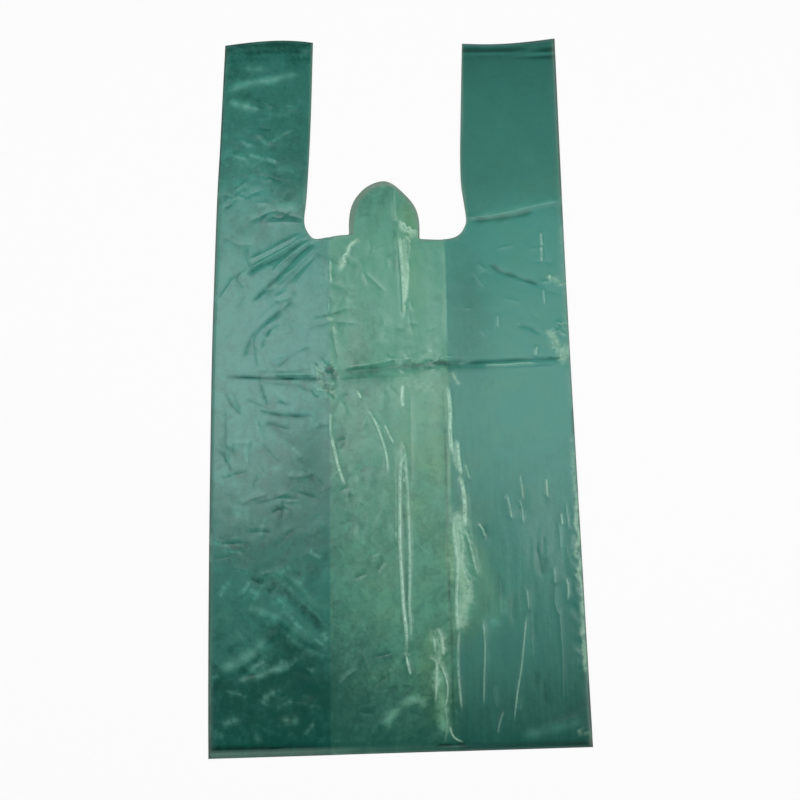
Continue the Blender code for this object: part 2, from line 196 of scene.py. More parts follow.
creases = dict(
    # across the waist, where the bag has been folded over
    waistLeft=dent([(-141, -2), (-120, -3), (-100, -4), (-84, -4.5), (-66, -5), (-54, -7)], -0.5, (6, 3), 0.8,
                   1.4),
    waistLeftUpper=dent([(-112, 1), (-95, 1.5), (-80, 2), (-66, 3.5)], -0.2, (4, 2.4), 0.2, 1.0),
    waistLeftLine=crease([(-100, -1), (-84, -1), (-68, -1.5)], 0.3, (2, 2), 0.2, 0.7),
    waistLeftLower=dent([(-112, -6), (-95, -9), (-80, -10), (-67, -17)], -0.25, (4, 5), 0.32, 1.6),
    knotA=dent([(-64, 9), (-61, 2), (-57, -3)], -0.5, (2.6, 2.6), 0.35, 1.2),
    knotC=dent([(-62, -16), (-55, -15), (-48, -22)], -0.5, (2.6, 2.6), 0.35, 1.1),
    waistTop=crease([(-39, 4), (-20, 6.5), (0, 10.5), (6, 12)], 0.9, (14, 3), 0.22),
    waistCentre=dent([(-42, 1), (-20, 2), (0, 4), (20, 4), (36, 6)], -0.8, (5, 6), 0.4, 3.0),
    waistMiddle=dent([(-4, 4.5), (10, 5.5), (26, 6), (42, 6.5), (60, 7)], -0.55, (4, 4), 0.3, 1.9),
    waistFoot=dent([(-48, -7), (-25, -5), (0, -5), (14, -4)], 0.5, (3, 7), 0.15, 1.6),
    waistSpot=dent([(32, 8), (46, 6), (58, 5)], -0.3, (4, 4), 0.18, 3.6),
    waistRight=dent([(56, 6), (75, 7), (100, 8.5), (125, 9), (147, 10)], -0.7, (3.4, 3), 0.65, 1.5),
    waistRightLine=crease([(75, 4.5), (92, 4.5), (105, 5.5), (118, 5.5)], 0.6, (2.2, 2.2), 0.45, 0.8),
    waistRightFoot=dent([(40, 2), (75, 1.5), (110, 2), (140, 3)], 0.4, (2, 5), 0.15, 1.6),
    # out from the mouth's left corner
    armpitArc=dent([(-74, 134), (-86, 138), (-98, 142), (-110, 138), (-122, 132)], -0.3, (5, 3), 0.1),
    armpitFoot=dent([(-76, 131), (-92, 132), (-112, 131)], 0.25, (4, 5), 0.06),
    armpitSlant=dent([(-142, 120), (-130, 112), (-116, 112)], -0.12, (3, 4), 0.15, 1.6),
    fanA=crease([(-76, 121), (-92, 113), (-108, 104), (-120, 99)], 0.5, (4, 3), 0.05),
    fanB=crease([(-74, 119), (-90, 108), (-104, 100), (-118, 92)], 0.6, (3, 2), 0.16, 0.8),
    fanC=dent([(-71, 117), (-85, 107), (-97, 99), (-110, 93), (-123, 86)], -0.6, (3, 2.4), 0.5, 1.1),
    fanD=crease([(-69, 115), (-82, 105), (-93, 96), (-101, 87)], 0.55, (3, 2.4), 0.16, 0.8),
    fanE=dent([(-65, 114), (-78, 103), (-90, 90), (-97, 82), (-108, 71), (-118, 61)], -0.7, (3, 3), 0.55, 1.2),
    fanF=crease([(-63, 110), (-76, 97), (-88, 85), (-98, 75)], 0.5, (3, 5), 0.1),
    fanG=dent([(-66, 100), (-84, 82), (-100, 66)], -0.3, (5, 4), 0.16, 1.6),
    fanH=crease([(-60, 104), (-70, 92), (-84, 74)], 0.4, (4, 5)),
    fanI=dent([(-80, 62), (-90, 56), (-100, 48), (-108, 41), (-117, 33), (-121, 22), (-125, 11)], -0.55, (4, 3),
              0.34, 1.2),
    fanJ=dent([(-117, 33), (-114, 18), (-112, 4)], -0.3, (3, 3), 0.15, 1.0),
    fanK=dent([(-104, 37), (-109, 22)], -0.3, (3, 3), 0.12, 1.0),
    fanL=crease([(-122, 108), (-123, 98), (-119, 90)], 0.25, (3, 4)),
    sideTucks=dent([(-130, 88), (-129, 80), (-124, 74)], -0.25, (3, 3), 0.15, 1.2),
    # between the corner and the waist
    neckZigzag=crease([(-29, 115), (-35, 111), (-37, 105), (-41, 100), (-39, 96), (-43, 91)], 0.7, (2.6, 2.6),
                      0.7, 1.3),
    neckTick=crease([(-51.5, 98), (-52, 88), (-51, 78)], 0.6, (2.2, 2.2), 0.7),
    neckTickLow=crease([(-53.5, 64), (-53.5, 52)], 0.5, (2.2, 2.2), 0.35, 0.7),
    neckArc=crease([(-20, 116), (-18, 108), (-22, 96), (-30, 82)], 0.2, (3, 4)),
    elbowUpper=dent([(-66, 48), (-52, 50), (-36, 56)], -0.35, (3, 2.4), 0.3, 0.9),
    elbowLower=dent([(-70, 38), (-52, 43), (-30, 42)], -0.25, (3, 3), 0.12, 0.9),
    elbowDown=dent([(-51, 40), (-49, 26), (-46, 11)], -0.3, (3, 3), 0.22, 0.9),
    elbowUp=dent([(-98, 4), (-88, 12), (-78, 18), (-66, 23)], -0.3, (3, 2.4), 0.22, 1.0),
    # the tongue and the streaks below it
    tongueLine=crease([(3.5, 162), (3.5, 146), (5, 131)], 0.8, (2.4, 3), 0.22, 1.2),
    tongueKnot=crease([(7.5, 133), (9.5, 128.5), (11, 130), (13, 125), (15.5, 126.5), (17, 123.5), (22.5, 123)],
                      0.8, (3, 2.6), 0.7, 0.8),
    tongueKnotLow=crease([(12, 118), (16, 112)], 0.8, (2.4, 2.4), 0.5, 1.3),
    neckStreakA=crease([(6.5, 120), (8, 100), (9, 80), (9.5, 60), (9.5, 46)], 1.6, (3, 3), 0.95, 1.5),
    neckStreakB=crease([(12.5, 99), (13.5, 88), (12.5, 74), (10.5, 58)], 1.1, (2.4, 3), 0.85, 1.3),
    neckStreakC=crease([(12, 120), (15.5, 108), (13, 98)], 0.8, (2.4, 3), 0.25, 1.2),
    neckFacet=dent([(-22, 86), (-10, 73), (-4, 69)], -0.2, (3, 4), 0.1, 1.6),
    neckEnd=dent([(3, 38), (9, 37), (13, 41), (21, 41)], -0.25, (2.6, 3), 0.1, 1.4),
    neckRight=dent([(29, 35), (36, 38), (42, 43)], -0.2, (3, 3), 0.08, 1.6),
    waistTicks=crease([(9, 15), (13, 11), (15, 13.5)], 0.3, (2.4, 2.4), 0.15, 0.8),
    # the right side above the waist
    shoulderRight=crease([(59, 133.5), (72, 134.5), (85, 136), (105, 140), (120, 144), (147, 149)], 0.4, (3, 3),
                         0.06, 1.1),
    shoulderFoot=dent([(68, 131), (90, 133), (110, 136), (122, 140)], -0.5, (3, 4), 0.34, 2.6),
    sideRightDark=dent([(82, 93), (92, 85), (104, 81), (116, 76), (126, 73)], -0.35, (4, 4), 0.6, 2.4),
    sideRightTip=crease([(126, 75), (134, 76), (140, 73), (146, 75)], 0.6, (2.2, 2.2), 0.15, dark=0.12),
    sideTickA=crease([(127.5, 121), (127.5, 108), (127, 93)], 0.7, (2.2, 2.2), 0.4, 1.0),
    sideTickB=crease([(127.5, 70), (127.5, 56)], 0.5, (2.2, 2.2), 0.22),
    sideTickC=crease([(133, 82), (133, 77)], 0.7, (2, 2), 0.6, 1.1),
    sideTickD=crease([(119.5, 20), (117.5, 12)], 0.9, (2.6, 2.4), 0.5, 1.1),
    sideTickE=crease([(88, 48), (88, 36)], 0.4, (2, 2), 0.12),
    sideSlant=dent([(103, 38), (113, 36), (122, 31)], -0.5, (3, 3), 0.19),
    # the left side below the waist
    belowWaistA=dent([(-111, -31), (-100, -34), (-88, -36), (-67, -37)], -0.45, (3, 4), 0.5, 1.4),
    belowWaistB=dent([(-104, -40), (-92, -50), (-82, -60), (-72, -69)], -0.4, (5, 5), 0.22),
    belowWaistC=dent([(-109, -8), (-107, -18), (-103, -27)], -0.4, (3, 3), 0.22, 1.2),
    belowWaistD=dent([(-139, -15), (-134, -26), (-125, -35)], -0.35, (3, 3), 0.19, 1.2),
    sideLine=dent([(-138, -30), (-138, -52), (-138, -76)], -0.3, (2.4, 2.4), 0.15, 1.2),
    sideBlotch=dent([(-143, -60), (-134, -64), (-132, -72)], -0.3, (4, 4), 0.1),
    leftStreakTop=crease([(-52, -34), (-52.5, -46), (-52, -56)], 0.6, (2.4, 2.4), 0.5, 1.1),
    leftStreak=crease([(-52, -52), (-49, -66), (-46, -79), (-41, -94)], 0.7, (2.6, 2.6), 0.8, 1.3),
    # down the middle
    slantA=crease([(-22, -30), (-15, -44), (-10, -58), (-7, -70), (-6, -84)], 0.6, (2.4, 2.4), 0.75, 1.0),
    slantB=crease([(-8, -44), (-5, -52), (-1, -60)], 0.5, (2.2, 2.2), 0.7),
    slantTop=crease([(-30, -16), (-27, -22)], 0.4, (2, 2), 0.7, 1.1),
    centreTop=crease([(7.5, -11), (6.5, -21), (7.5, -30)], 0.5, (2.4, 2.4), 0.75, 1.4),
    centreLine=dent([(13.5, -16), (13, -50), (13, -100)], -0.3, (2.2, 3), 0.11, 1.2),
    pleatLeft=crease([(7.5, -57), (4.5, -72), (3.5, -86), (3, -110), (2.5, -140), (3.5, -170), (4.5, -192),
                      (6.5, -214), (5.5, -229)], 1.1, (2.8, 2.4), 0.75, 1.35),
    pleatRight=crease([(8, -60), (9, -80), (9.5, -100), (10, -135), (9.8, -165), (9, -190), (10, -206),
                       (9, -220)], 0.8, (2.4, 2.6), 0.5, 1.15),
    pleatKnot=crease([(6, -58), (8.5, -68), (5.5, -76), (8.5, -84), (6, -94)], 0.5, (2, 2), 0.45, 0.8),
    pleatTail=crease([(5.5, -226), (7, -234), (9, -242)], 1.0, (2.4, 2.4), 0.75),
    # along the right gusset's inner fold
    foldStreakA=crease([(44.3, -13), (45.5, -32), (45, -50), (45.5, -62), (46.5, -70)], 1.2, (2.6, 2.8), 1.0,
                       1.75),
    foldLine=crease([(44.5, 112), (44.7, 70), (44.5, 28)], 0.15, (1.6, 1.6), 0.08, 0.6),
    foldStreakB=crease([(50.8, -58), (51.5, -74), (52.8, -86)], 1.4, (2.6, 2.8), 0.9, 1.6),
    foldStreakC=crease([(52, -88), (54, -98), (55, -110), (54.5, -130)], 1.5, (3, 3), 0.9, 1.8),
    foldStreakD=crease([(57, -78), (59.5, -90)], 0.8, (2.2, 2.2), 0.45, 1.0),
    foldEdgeLeft=crease([(47, -118), (45.5, -135), (48, -155), (47, -172), (46, -196), (47, -212)], 1.3,
                        (2.6, 4), 0.6, 1.3),
    foldEdgeRight=crease([(55, -130), (59, -146), (62, -160), (64, -168)], 1.1, (3, 2.6), 0.5, 0.8),
    foldMiddle=crease([(50, -124), (53, -142), (51, -160), (57, -176), (52, -190)], 1.0, (3, 3), 0.3, 1.0),
    foldTail=crease([(47.5, -208), (46, -230), (46.5, -250), (48, -270)], 0.9, (2.4, 2.4), 0.35, 1.1),
    foldValley=dent([(41.5, -14), (41, -80), (40.5, -150), (41.5, -220), (41, -292)], -0.35, (4, 3), 0.4, 1.2),
    blister=crease([(66, -126), (69, -131), (70.5, -137)], 0.9, (2.4, 2.4), 0.55),
    blisterFoot=dent([(68, -127), (72, -132), (72, -139)], -0.4, (2.4, 2.4), 0.22, 1.6),
    # short streaks down the right side
    rightShortA=crease([(89.5, -103), (91, -112), (92.5, -123)], 0.9, (2.2, 2.2), 0.5, 1.0),
    rightShortB=crease([(101, -87), (102, -98), (102, -107)], 0.5, (2, 2), 0.3, 0.7),
    rightShortC=crease([(99.5, -107), (101.5, -116), (101.5, -126)], 0.5, (2, 2), 0.3, 0.7),
    rightShortD=crease([(122, -91), (122, -106)], 0.7, (2.2, 2.2), 0.55),
    rightShortE=crease([(132.5, -119), (133, -128)], 0.6, (2, 2), 0.55, 0.8),
    rightShortF=crease([(137, -109), (138, -131)], 0.4, (2, 2), 0.2, 0.7),
    rightShortG=crease([(124.5, -161), (124.5, -175)], 0.5, (2, 2), 0.25, 0.8),
    rightShortH=crease([(134, -170), (135, -180), (134, -188)], 0.7, (2.2, 2.2), 0.4),
    rightShortI=crease([(102, -179), (103, -194)], 0.4, (2, 2), 0.2, 0.7),
    rightLongA=crease([(66.5, -201), (67.5, -222), (66, -246), (65, -266)], 0.7, (2.2, 2.2), 0.3, 0.75),
    rightLongB=crease([(101, -199), (98, -220), (95, -240), (91, -259), (88, -278)], 0.8, (2, 2.4), 0.38, 0.75),
    rightLongC=crease([(127, -196), (128, -230), (127, -262)], 0.4, (2, 2), 0.08, 0.7),
    forkRight=crease([(80, -271), (77, -279), (75, -287)], 0.6, (2.4, 2.4), 0.2),
    cornerRight=crease([(84, -289), (110, -284), (142, -274)], 0.28, (5, 6)),
    # the crumpled strip below the middle
    lowerA=crease([(27.5, -214), (28.5, -225)], 0.9, (2.2, 2.2), 0.45),
    lowerB=crease([(31.5, -208), (34, -217), (35, -228)], 1.3, (2.6, 2.6), 0.6, 1.3),
    lowerC=crease([(24, -230), (29, -232), (29, -246), (28, -264)], 1.2, (2.6, 2.6), 0.5, 1.0),
    lowerD=crease([(31, -231), (35, -241), (37.5, -251), (36.5, -262), (34, -267)], 1.1, (2.4, 2.4), 0.5, 0.7),
    lowerE=crease([(35, -266), (36.5, -280), (34, -293)], 0.8, (2.4, 2.4), 0.15),
    lowerHook=crease([(38.3, -281), (40, -287), (43.5, -290.5), (48.5, -292.5)], 0.8, (2.2, 2.2), 0.6, 0.8),
    lowerSlant=crease([(-30, -222), (-24, -236), (-20, -247)], 0.3, (3, 3)),
    lowerArch=crease([(-18, -281), (-8, -275), (0, -268), (12, -263), (22, -269)], 0.35, (7, 4)),
    # the bottom left corner
    cornerCrestA=crease([(-104, -160), (-90, -163), (-80, -171), (-66, -186), (-56, -200)], 0.12, (7, 5)),
    cornerCrestB=crease([(-100, -170), (-88, -181), (-75, -192), (-67, -201), (-56, -213)], 0.16, (5, 8)),
    cornerCrestC=crease([(-114, -189), (-97, -195), (-88, -202), (-75, -212), (-62, -222), (-46, -229)], 0.22,
                        (9, 4)),
    cornerCrestD=crease([(-140, -239), (-125, -234), (-112, -226), (-103, -215), (-90, -206)], 0.26, (9, 4)),
    cornerStreakA=crease([(-127, -245), (-110, -241), (-98, -237), (-82, -233)], 0.2, (4, 5)),
    cornerStreakB=crease([(-107, -263), (-102, -256), (-94, -252), (-86, -257)], 0.16, (4, 5)),
    cornerStreakC=crease([(-95, -273), (-84, -271), (-74, -275)], 0.2, (5, 4)),
    cornerStreakD=crease([(-140, -280), (-130, -275), (-118, -274)], 0.2, (5, 4)),
    cornerCut=dent([(-80, -281), (-88, -286), (-96, -292)], -0.25, (3, 3), 0.15, 1.2),
    # the left handle
    handleA=crease([(-143, 252), (-130, 259), (-118, 263), (-104, 264), (-92, 268), (-78, 270)], 0.3, (4, 5)),
    handleB=crease([(-143, 245), (-128, 241), (-113, 236)], 0.3, (4, 5)),
    handleD=crease([(-131, 209), (-124, 204), (-116, 202)], 0.2, (3, 3)),
    handleE=crease([(-112, 207), (-104, 204), (-92, 212), (-82, 218)], 0.2, (3, 3)),
    handleF=crease([(-137, 194), (-122, 189)], 0.18, (3, 3)),
    handleG=crease([(-122, 194), (-108, 190)], 0.18, (3, 3)),
)

# Soft bands of painted light and shade: a line of the film painted paler where the amount is above nought, darker
# where it is below
bands = dict(
    armpitDark=band([(-140, 124), (-122, 126), (-104, 124)], 8, -0.25),
    armpitValley=band([(-116, 133), (-98, 137), (-78, 134)], 3.6, -0.3),
    armpitLight=band([(-98, 148), (-80, 144)], 4, 0.35),
    fanLight=band([(-80, 84), (-95, 68), (-112, 52)], 6, 0.12),
    neckVeil=band([(-15, 115), (-8, 95), (-3, 70), (-3, 45), (-12, 28)], 5, 0.25),
    neckShade=band([(3, 140), (3, 110), (4, 75)], 2.6, -0.35),
    tongueShade=band([(-12, 150), (-8, 130)], 9, -0.12),
    neckRight=band([(26, 110), (26, 50)], 3, 0.2),
    shoulderLight=band([(68, 135), (85, 137), (105, 141), (120, 145), (145, 149)], 1.8, 0.25),
    shoulderBand=band([(70, 132), (100, 134), (122, 139)], 2.6, -0.2),
    waistWedge=band([(-92, -7), (-80, -8), (-68, -11)], 3.5, -0.15),
    waistKnot=band([(-60, 6), (-58, -6), (-54, -16)], 5.5, -0.22),
    foldLight=band([(43, 113), (43.5, 70), (43, 20)], 1.7, 0.22),
    besideLine=band([(16.5, -18), (16, -62)], 1.4, 0.25),
    pleatInner=band([(7, -66), (6.5, -120), (7, -200)], 1.3, -0.3),
    sideSpot=band([(-143, -63), (-137, -66), (-131, -61)], 3.5, -0.3),
    leftSpots=band([(-118, -84), (-90, -78)], 5, 0.12),
    leftPatch=band([(-132, -114), (-118, -118)], 5, 0.2),
    leftPatchLow=band([(-90, -104), (-76, -112)], 5, 0.15),
    cornerDark=band([(-101, -166), (-90, -175), (-78, -187), (-64, -199), (-54, -207)], 4.4, -0.3),
    cornerLightA=band([(-118, -188), (-104, -193), (-90, -198)], 3.4, 0.4),
    cornerLightB=band([(-60, -208), (-55, -216)], 4, 0.35),
    cornerLightC=band([(-140, -236), (-126, -230), (-113, -222), (-103, -213)], 4.6, 0.42),
    cornerLightD=band([(-128, -206), (-120, -216)], 7, 0.15),
    cornerDeep=band([(-108, -216), (-94, -207), (-80, -220), (-60, -234)], 7, -0.26),
    streakA=band([(-125, -244), (-110, -241), (-98, -237), (-84, -233)], 3, 0.4),
    streakB=band([(-106, -262), (-102, -256), (-95, -252)], 3, 0.4),
    streakC=band([(-92, -274), (-76, -274)], 4, 0.4),
    streakD=band([(-136, -276), (-122, -272)], 3.6, 0.3),
    streakE=band([(-112, -285), (-106, -287)], 3, 0.25),
    streakF=band([(-80, -262), (-66, -256)], 2.4, 0.15),
    archLight=band([(-16, -279), (-6, -272), (2, -265), (12, -260), (22, -266)], 3.4, 0.35),
    lowerOlive=band([(31, -236), (33, -262), (34, -288)], 4.5, 0.4),
    cornerRightLight=band([(92, -289), (115, -285), (142, -278)], 3.4, 0.22),
    rightPatch=band([(75, -200), (77, -206)], 3, 0.25),
    handleLightA=band([(-141, 253), (-130, 259), (-118, 263), (-104, 264), (-92, 268), (-80, 270)], 4, 0.45),
    handleLightB=band([(-141, 244), (-128, 240), (-114, 236)], 4, 0.45),
    handleLightC=band([(-128, 276), (-104, 273)], 4, 0.22),
    handleLightD=band([(-129, 207), (-123, 203), (-117, 202)], 2, 0.3),
    handleLightE=band([(-112, 207), (-104, 205), (-92, 212), (-82, 218)], 1.8, 0.28),
    handleLightF=band([(-136, 194), (-122, 189)], 2, 0.28),
    handleLightG=band([(-122, 194), (-108, 190)], 2, 0.28),
    handleLightH=band([(-98, 180), (-82, 179)], 2, 0.25),
    handleLightI=band([(-77, 289), (-69, 291)], 2, 0.35),
    foldPatchLight=band([(50, -118), (50, -150), (54, -178), (50, -205)], 8, 0.35),
    foldSoft=band([(60, -140), (67, -168), (74, -190), (70, -215), (66, -240)], 8, 0.1),
    crestLight=band([(-100, -160), (-86, -164), (-74, -176), (-62, -192)], 3, 0.2),
    lensLight=band([(-97, -180), (-84, -190), (-72, -202), (-60, -213)], 3, 0.12),
    lensEdgeTop=band([(-105, -159), (-92, -169), (-78, -181), (-64, -195), (-52, -209)], 1.4, 0.22),
    lensEdgeMiddle=band([(-94, -179), (-85, -196), (-70, -210), (-54, -221)], 1.6, 0.32),
    lensEdgeFoot=band([(-92, -205), (-73, -221), (-52, -227)], 1.5, 0.25),
    lensFill=band([(-84, -202), (-66, -215)], 6, 0.15),
    handleLightJ=band([(-106, 231), (-84, 231)], 2.4, 0.15),
)

# Painted glitter where the film is crumpled fine: painted highlights on whitened film
glints = dict(
    knot=band([(8, 131), (9, 125), (13, 122), (20, 121), (14, 116)], 2.4, 0.8),
    neckStreak=band([(9, 114), (11, 90), (11, 66)], 3.2, 0.85),
    zigzag=band([(-29, 115), (-35, 111), (-37, 105), (-40, 98), (-43, 90)], 2.8, 0.8),
    elbow=band([(-54, 47), (-50, 44), (-49, 36)], 2.4, 0.6),
    waistKnot=band([(-62, 2), (-58, -8), (-52, -16)], 5.5, 0.5),
    waistTicks=band([(9, 13), (16, 9), (22, 10), (30, 17)], 2.4, 0.55),
    belowWaist=band([(6, -6), (18, -10), (28, -16)], 6, 0.4),
    waistSpot=band([(48, -2), (53, -11)], 1.8, 0.8),
    rightWaist=band([(131, 30), (137, 21), (144, 13), (139, 8)], 5, 0.75),
    rightSide=band([(132, 80), (140, 76), (147, 73)], 2.6, 0.7),
    rightUpper=band([(144, 124), (144.5, 60), (144, -30)], 2.6, 0.25),
    rightMiddle=band([(144, -60), (144.5, -100)], 2.2, 0.5),
    rightEdge=band([(147, -104), (145, -118), (143, -129), (147, -137), (142, -150), (146, -158), (143, -168),
                    (146, -178), (145, -205), (145, -240)], 2.4, 0.8),
    foldUpper=band([(46, -60), (48, -72), (54, -90), (55, -108)], 2.6, 0.6),
    foldPatch=band([(50, -120), (49, -140), (50, -160), (54, -178), (52, -190), (49, -204)], 5.5, 0.9),
    foldPatchLow=band([(53, -172), (56, -184)], 5, 0.9),
    foldRight=band([(57, -134), (60, -148), (62, -164)], 1.8, 0.6),
    lowerPatch=band([(27, -212), (33, -219), (31, -232), (28, -250)], 4.2, 0.6),
    cornerRight=band([(138, -286), (146, -288)], 3, 0.5),
    centreTop=band([(7, -12), (7, -32)], 2, 0.5),
)

crumples = dict(
    leftHandle=crumple((-106, 225), (44, 70), 0.16, (18, 8), -18),
    leftShoulder=crumple((-110, 165), (42, 26), 0.12, (13, 7), 15),
    leftBody=crumple((-100, -105), (52, 65), 0.14, (11, 8), 30),
    leftCorner=crumple((-100, -262), (60, 35), 0.2, (20, 8), -8),
    leftUpper=crumple((-105, 50), (50, 60), 0.22, (26, 12), 50),
    centre=crumple((-20, -120), (40, 120), 0.22, (10, 22)),
    neck=crumple((15, 95), (30, 60), 0.22, (7, 22), 5),
    neckLeft=crumple((-40, 80), (18, 50), 0.3, (7, 11), -25),
    waist=crumple((20, 10), (34, 13), 0.45, (7, 7)),
    waistKnot=crumple((-58, -6), (10, 16), 0.8, (6, 7)),
    rightStreaks=crumple((104, -170), (42, 110), 0.22, (5, 46)),
    rightEdge=crumple((144, -165), (6, 75), 0.8, (5, 8), 10),
    rightEdgeUpper=crumple((140, 20), (10, 20), 0.8, (6, 6)),
    foldPatch=crumple((52, -155), (8, 44), 0.9, (4, 8), 8),
    lowerPatch=crumple((31, -240), (8, 36), 0.6, (4, 8)),
    rightBody=crumple((95, 60), (50, 60), 0.16, (22, 16), 20),
    bottomCentre=crumple((0, -265), (50, 26), 0.2, (18, 10), 15),
)

wrinkles = dict(
    leftHandle=field((-106, 222), (27, 52), 16, -12, 30, (7, 18), 0.2, 0.22),
    leftShoulder=field((-112, 156), (27, 20), 12, 15, 35, (7, 16), 0.3, 0.16),
    leftUpper=field((-108, 50), (32, 46), 16, 50, 35, (8, 24), 0.2, 0.07),
    leftBelow=field((-98, -68), (40, 52), 34, -40, 70, (9, 24), 0.22, 0.2),
    leftLow=field((-103, -158), (38, 36), 26, 20, 60, (7, 20), 0.13, 0.3),
    leftCorner=field((-100, -256), (44, 34), 20, 12, 40, (6, 18), 0.12, 0.3),
    centre=field((-24, -110), (24, 100), 20, 70, 60, (6, 18), 0.25, 0.14, 0.25),
    centreFoot=field((-10, -255), (36, 30), 10, 30, 50, (7, 18), 0.22, 0.2),
    neck=field((-12, 70), (32, 40), 12, 70, 40, (7, 20), 0.24, 0.12, 0.3),
    waistKnot=field((-57, -5), (9, 13), 16, 0, 90, (4, 10), 0.5, 0.4, 0.8),
    waistMiddle=field((22, 8), (26, 9), 12, 0, 60, (4, 12), 0.4, 0.25, 0.8),
    rightUpper=field((100, 62), (38, 46), 12, -20, 40, (7, 20), 0.22, 0.1, 0.2),
    rightSide=field((137, 24), (8, 16), 12, 30, 80, (4, 9), 0.5, 0.35, 0.8),
    rightStreaks=field((105, -190), (36, 90), 20, 90, 8, (8, 26), 0.18, 0.16, 0.4),
)

# What the draws for one small wrinkle lie between
wrinkleDraws = dict(
    seed=11,
    bow=(-0.2, 0.2),  # in half lengths
    light=(0.4, 1.3),
    reach=(2.0, 3.6),
    height=(0.6, 1.2),
    paleWidth=0.7,
    darkShare=0.6,
    darkSpread=(0.8, 1.6),
    bandShift=(1.5, 3.0),
    bandWidth=(1.2, 2.8),
    bandShare=0.9,
)


def strewWrinkles():
    ranges = wrinkleDraws
    draw = random.Random(ranges["seed"])
    for name, plan in wrinkles.items():
        for k in range(plan["count"]):
            x, y = [at + reach * draw.uniform(-1, 1) for at, reach in zip(plan["at"], plan["reach"])]
            turn = math.radians(plan["turn"] + plan["swing"] * draw.uniform(-1, 1))
            half = draw.uniform(*plan["length"]) / 2
            bow = half * draw.uniform(*ranges["bow"])
            dx, dy = math.cos(turn), math.sin(turn)
            path = [(x - half * dx, y - half * dy), (x - bow * dy, y + bow * dx), (x + half * dx, y + half * dy)]
            up = draw.choice((1, -1))
            light = plan["light"] * draw.uniform(*ranges["light"])
            reach = draw.uniform(*ranges["reach"]), draw.uniform(*ranges["reach"])
            # a raised wrinkle is painted with a highlight along its crest, a sunk one with painted shade
            creases[name + str(k)] = crease(path, up * plan["height"] * draw.uniform(*ranges["height"]), reach,
                                            pale=max(0, up * light) * plan["shine"],
                                            width=ranges["paleWidth"],
                                            dark=max(0, -up * light) * ranges["darkShare"],
                                            spread=draw.uniform(*ranges["darkSpread"]))
            # a band beside each wrinkle, painted paler on a raised one and darker on a sunk one: painted light and
            # shade
            shift = draw.choice((1, -1)) * draw.uniform(*ranges["bandShift"])
            beside = [(px - shift * dy, py + shift * dx) for px, py in path]
            bands[name + str(k)] = band(beside, draw.uniform(*ranges["bandWidth"]),
                                        up * light * ranges["bandShare"])


strewWrinkles()
print("creases laid,", len(creases), "of them")

# Broad painted light and shade of the film, from 0 where it is painted darkest to 1 where it is painted palest:
# (y, tone) down the middle of the bag, and patches added to it
toneAlong = [(-300, 0.10), (-268, 0.12), (-230, 0.30), (-180, 0.5), (-110, 0.68), (-40, 0.87), (80, 0.97),
             (125, 0.85), (165, 0.60), (230, 0.48), (278, 0.34), (300, 0.25)]
tones = dict(
    handleInner=patch((-88, 172), (24, 40), -0.22),
    besideFold=patch((64, 62), (24, 80), -0.3),
    handleRight=patch((105, 230), (60, 70), 0.12),
    handleLeftTop=patch((-95, 275), (60, 40), 0.1),
    neck=patch((6, 90), (26, 60), 0.08),
    leftShoulder=patch((-115, 165), (40, 35), 0.25),
    upperLeft=patch((-105, 70), (50, 35), -0.08),
    leftMiddle=patch((-70, -80), (34, 50), -0.25),
    centreUpper=patch((-30, 5), (20, 90), -0.3),
    upperRight=patch((105, 114), (60, 24), 0.22),
    leftLower=patch((-95, -135), (55, 40), -0.15),
    leftFoot=patch((-85, -250), (50, 32), -0.3),
    centreLower=patch((15, -215), (62, 75), 0.2),
    rightMiddle=patch((115, 0), (60, 130), 0.14),
    rightLower=patch((100, -205), (50, 70), 0.18),
)
# Patches with a yellower green, and with a bluer one where the amount is below nought
warmths = dict(
    tongue=patch((15, 135), (10, 22), 0.8),
    neck=patch((20, 80), (12, 40), 0.5),
    neckBlue=patch((36, 80), (7, 40), -0.4),
    middle=patch((25, -60), (30, 60), 0.35),
    foldPatch=patch((55, -165), (14, 50), 1.0),
    foldFoot=patch((72, -180), (16, 40), 0.4),
    lower=patch((28, -255), (14, 40), 0.6),
    centre=patch((5, -170), (45, 130), 0.3),
    leftSide=patch((-105, 20), (50, 100), -0.3),
    rightSide=patch((100, -120), (30, 60), -0.1),
    rightWing=patch((95, -60), (60, 240), 0.2),
)
# (place along the tube, width, tone at the left, tone at the right): the welds, the skirt and the hems
weldTones = [(-294.6, 1.1, -0.9, -0.7), (-298.4, 1.8, 0.2, -0.25), (296.5, 3, -0.15, 0.05),
             (291, 1.1, -0.3, -0.6), (287, 1.2, 0.0, 0.35), (283.8, 1.0, -0.1, -0.4), (299.4, 0.9, -0.3, -0.3)]
weldBlend = (-60, 20)  # from the left tone to the right one

# How lines and patches are laid over the film
marks = dict(
    curveSteps=3,
    fadeShare=0.16,  # a line fades over this share of its length at each end
    endShare=0.12,
    crestPower=1.4,
    lineReach=6.0,  # in widths of a whitened line
    bandReach=2.5,  # in widths of a band
    beads=17,  # a line swells and thins along its length
    beadDepth=0.25,
    sway=1.0,
    swaySize=6,
    swayPlaces=(2.3, 8.1),
    bandPower=2.4,
    paleLift=1.25,
    darkest=0.02,
    dullPatch=patch((-68, -75), (16, 48), 0.5),
    dullCrease=1.5,
    dullBand=0.7,
    dullFrom=(-170, 80),  # hollows turn dull from here up, over this length
    sheenWidths=(0.85, 0.3),  # of the painted sheen along a pale band, and of its ridge
    sheenShares=(0.6, 0.4),
)


